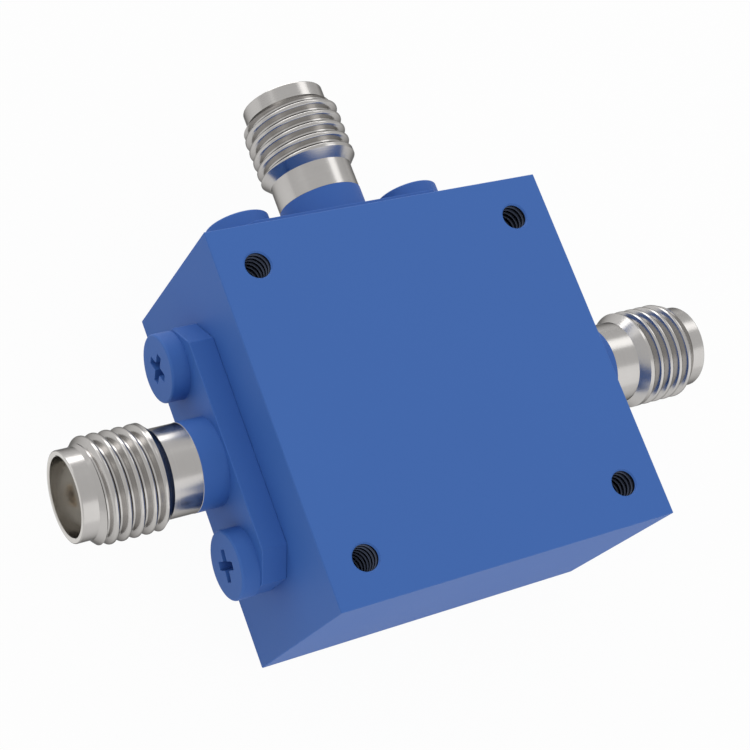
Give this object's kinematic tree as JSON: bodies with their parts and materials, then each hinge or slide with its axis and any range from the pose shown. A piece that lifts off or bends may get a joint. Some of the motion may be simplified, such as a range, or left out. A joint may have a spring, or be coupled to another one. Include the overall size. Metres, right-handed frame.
{
  "type": "double balanced mixer",
  "caption": "Frequency mixer in a square painted metal housing, with threaded coaxial jacks screwed to its sides and tapped mounting holes in its label face.",
  "frame": {"origin": "centre of the back face, which the housing rests on", "axes": "+Z out of the label face, +Y towards the single port on the top side, +X towards the right one of the two ports that face each other"},
  "size_m": [0.0436, 0.0332, 0.0127],
  "materials": {
    "housing_paint": "satin",
    "screw_paint": "satin",
    "jack_steel": "satin",
    "insulator_plastic": "matte",
    "contact_gold": "polished",
    "board_laminate": "matte",
    "track_copper": "satin",
    "board_screw_steel": "satin",
    "ferrite": "matte",
    "wire_red": "gloss",
    "wire_green": "gloss",
    "wire_copper": "gloss",
    "package_black": "matte",
    "lead_tin": "satin"
  },
  "bodies": {
    "root": {"housing": "housing_paint", "back_cover": "housing_paint", "cover_screw_1": "screw_paint", "cover_screw_2": "screw_paint", "cover_screw_3": "screw_paint", "cover_screw_4": "screw_paint", "left_flange_screw_1": "screw_paint", "left_flange_screw_2": "screw_paint", "right_flange_screw_1": "screw_paint", "right_flange_screw_2": "screw_paint", "top_flange_screw_1": "screw_paint", "top_flange_screw_2": "screw_paint", "left_jack_body": "jack_steel", "right_jack_body": "jack_steel", "top_jack_body": "jack_steel", "left_jack_insulator": "insulator_plastic", "right_jack_insulator": "insulator_plastic", "top_jack_insulator": "insulator_plastic", "left_jack_contact": "contact_gold", "right_jack_contact": "contact_gold", "top_jack_contact": "contact_gold", "circuit_board": "board_laminate", "board_tracks": "track_copper", "board_screw_1": "board_screw_steel", "board_screw_2": "board_screw_steel", "board_screw_3": "board_screw_steel", "left_ring_core": "ferrite", "right_ring_core": "ferrite", "left_winding_a": "wire_red", "left_winding_b": "wire_green", "left_winding_c": "wire_copper", "right_winding_a": "wire_red", "right_winding_b": "wire_green", "right_winding_c": "wire_copper", "diode_ring_package": "package_black", "diode_ring_leads": "lead_tin"}
  },
  "joints": []
}
